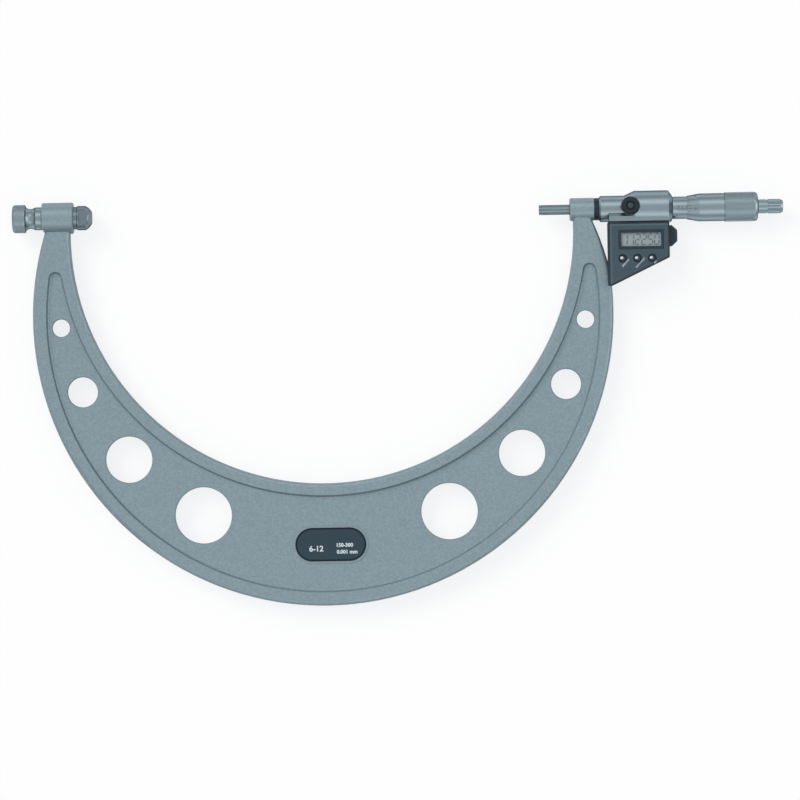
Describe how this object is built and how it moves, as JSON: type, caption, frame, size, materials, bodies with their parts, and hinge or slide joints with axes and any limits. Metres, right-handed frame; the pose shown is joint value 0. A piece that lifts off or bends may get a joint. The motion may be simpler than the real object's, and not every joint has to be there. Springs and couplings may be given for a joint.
{
  "type": "interchangeable anvil micrometer",
  "caption": "Outside micrometer with a deep pierced bow frame, a screwed-in interchangeable anvil, a ratchet thimble and a digital display head.",
  "frame": {"origin": "centre of the installed anvil's measuring face, on the measuring axis", "axes": "+X along the measuring axis from the anvil to the spindle, +Y away from the bow of the frame, +Z out of the display side; the instrument lies on its back"},
  "size_m": [0.4916, 0.2613, 0.0258],
  "materials": {
    "casting": "hammered silver-grey stove enamel on an iron casting",
    "satin_chrome": "satin chrome plated steel",
    "ground_steel": "finely ground hardened steel",
    "carbide": "lapped hard metal",
    "plate": "dark blue-grey enamelled aluminium",
    "slate_plastic": "moulded slate-grey plastic",
    "black_plastic": "moulded black plastic",
    "black_rubber": "black rubber",
    "clear_window": "clear scratch-resistant plastic",
    "lcd": "reflective liquid-crystal panel",
    "board": "green glass-fibre circuit board",
    "brass": "plain turned brass",
    "bright_zinc": "zinc-plated steel",
    "black_oxide": "blackened steel"
  },
  "bodies": {
    "frame": {"frame": "casting", "range_plate": "plate", "head_spacer_ring": "black_plastic", "spindle_bush": "brass", "head_body": "satin_chrome", "head_end_cap": "satin_chrome", "head_mount_screws": "bright_zinc", "clamp_pad": "brass", "encoder_stator": "board", "sensor_ribbon": "brass", "inner_sleeve": "satin_chrome", "adjusting_nut": "satin_chrome", "display_cover": "slate_plastic", "display_case": "slate_plastic", "display_window": "clear_window", "lcd_panel": "lcd", "lcd_contact_strips": "black_rubber", "circuit_board": "board", "button_switches": "black_plastic", "battery": "bright_zinc", "battery_contact": "brass", "connector_socket": "black_plastic", "case_screws": "bright_zinc"},
    "encoder_rotor": {"encoder_rotor": "brass"},
    "spindle": {"spindle": "ground_steel", "spindle_tip": "carbide", "thimble": "satin_chrome", "ratchet_stud": "ground_steel", "ratchet_spring": "bright_zinc", "ratchet_clutch": "ground_steel", "ratchet_screw": "ground_steel"},
    "ratchet_knob": {"ratchet_knob": "satin_chrome"},
    "spindle_clamp": {"clamp_knob": "black_plastic", "clamp_knob_screw": "black_oxide", "clamp_shaft": "ground_steel"},
    "zero_button": {"zero_button": "slate_plastic"},
    "hold_button": {"hold_button": "slate_plastic"},
    "preset_button": {"preset_button": "slate_plastic"},
    "anvil": {"anvil": "ground_steel", "anvil_tip": "carbide"},
    "clamp_collar": {"anvil_clamp_collar": "satin_chrome"},
    "clamp_screw": {"anvil_clamp_screw": "satin_chrome"},
    "graduated_sleeve": {"graduated_sleeve": "satin_chrome"},
    "cap_seal": {"battery_cap_seal": "black_rubber"},
    "battery_cap": {"battery_cap": "black_plastic"},
    "connector_cap": {"connector_cap": "black_rubber"}
  },
  "joints": [
    {"name": "thimble_turn", "type": "hinge", "parent": "frame", "child": "encoder_rotor", "pos_m": [0.28512, 0, 0], "axis": [1, 0, 0], "range_deg": [-3240.1, 11160.1]},
    {"name": "spindle_feed", "type": "slide", "parent": "encoder_rotor", "child": "spindle", "axis": [1, 0, 0], "range_m": [-0.00571, 0.01969]},
    {"name": "ratchet_turn", "type": "hinge", "parent": "spindle", "child": "ratchet_knob", "pos_m": [0.43, 0, 0], "axis": [1, 0, 0], "continuous": true},
    {"name": "spindle_clamp_turn", "type": "hinge", "parent": "frame", "child": "spindle_clamp", "pos_m": [0.343, 0.0015, 0.01], "axis": [0, 0, 1], "range_deg": [0, 90]},
    {"name": "zero_button_press", "type": "slide", "parent": "frame", "child": "zero_button", "axis": [0, 0, -1], "range_m": [0, 0.0005], "stiffness_N_per_m": 600, "springref_m": -0.0005},
    {"name": "hold_button_press", "type": "slide", "parent": "frame", "child": "hold_button", "axis": [0, 0, -1], "range_m": [0, 0.0005], "stiffness_N_per_m": 600, "springref_m": -0.0005},
    {"name": "preset_button_press", "type": "slide", "parent": "frame", "child": "preset_button", "axis": [0, 0, -1], "range_m": [0, 0.0005], "stiffness_N_per_m": 600, "springref_m": -0.0005},
    {"name": "anvil_release", "type": "slide", "parent": "frame", "child": "anvil", "axis": [1, 0, 0], "range_m": [0, 0.0155]},
    {"name": "anvil_clamp_feed", "type": "slide", "parent": "frame", "child": "clamp_collar", "axis": [-1, 0, 0], "range_m": [0, 0.0096]},
    {"name": "anvil_clamp_turn", "type": "hinge", "parent": "clamp_collar", "child": "clamp_screw", "pos_m": [-0.04, 0, 0], "axis": [-1, 0, 0], "range_deg": [0, 4320.1]},
    {"name": "sleeve_zero_turn", "type": "hinge", "parent": "frame", "child": "graduated_sleeve", "pos_m": [0.38, 0, 0], "axis": [1, 0, 0], "range_deg": [-15, 15]},
    {"name": "battery_cap_feed", "type": "slide", "parent": "frame", "child": "cap_seal", "axis": [0, 0, -1], "range_m": [0, 0.00225]},
    {"name": "battery_cap_turn", "type": "hinge", "parent": "cap_seal", "child": "battery_cap", "pos_m": [0.3469, -0.02502, -0.011], "axis": [0, 0, -1], "range_deg": [0, 1080.1]},
    {"name": "connector_cap_release", "type": "slide", "parent": "frame", "child": "connector_cap", "axis": [1, 0, 0], "range_m": [0, 0.006]}
  ],
  "couplings": [
    {"joint": "thimble_turn", "follows": "spindle_feed", "rad_per_m": 9894.8},
    {"joint": "anvil_clamp_turn", "follows": "anvil_clamp_feed", "rad_per_m": 7854},
    {"joint": "battery_cap_turn", "follows": "battery_cap_feed", "rad_per_m": 8377.6}
  ]
}
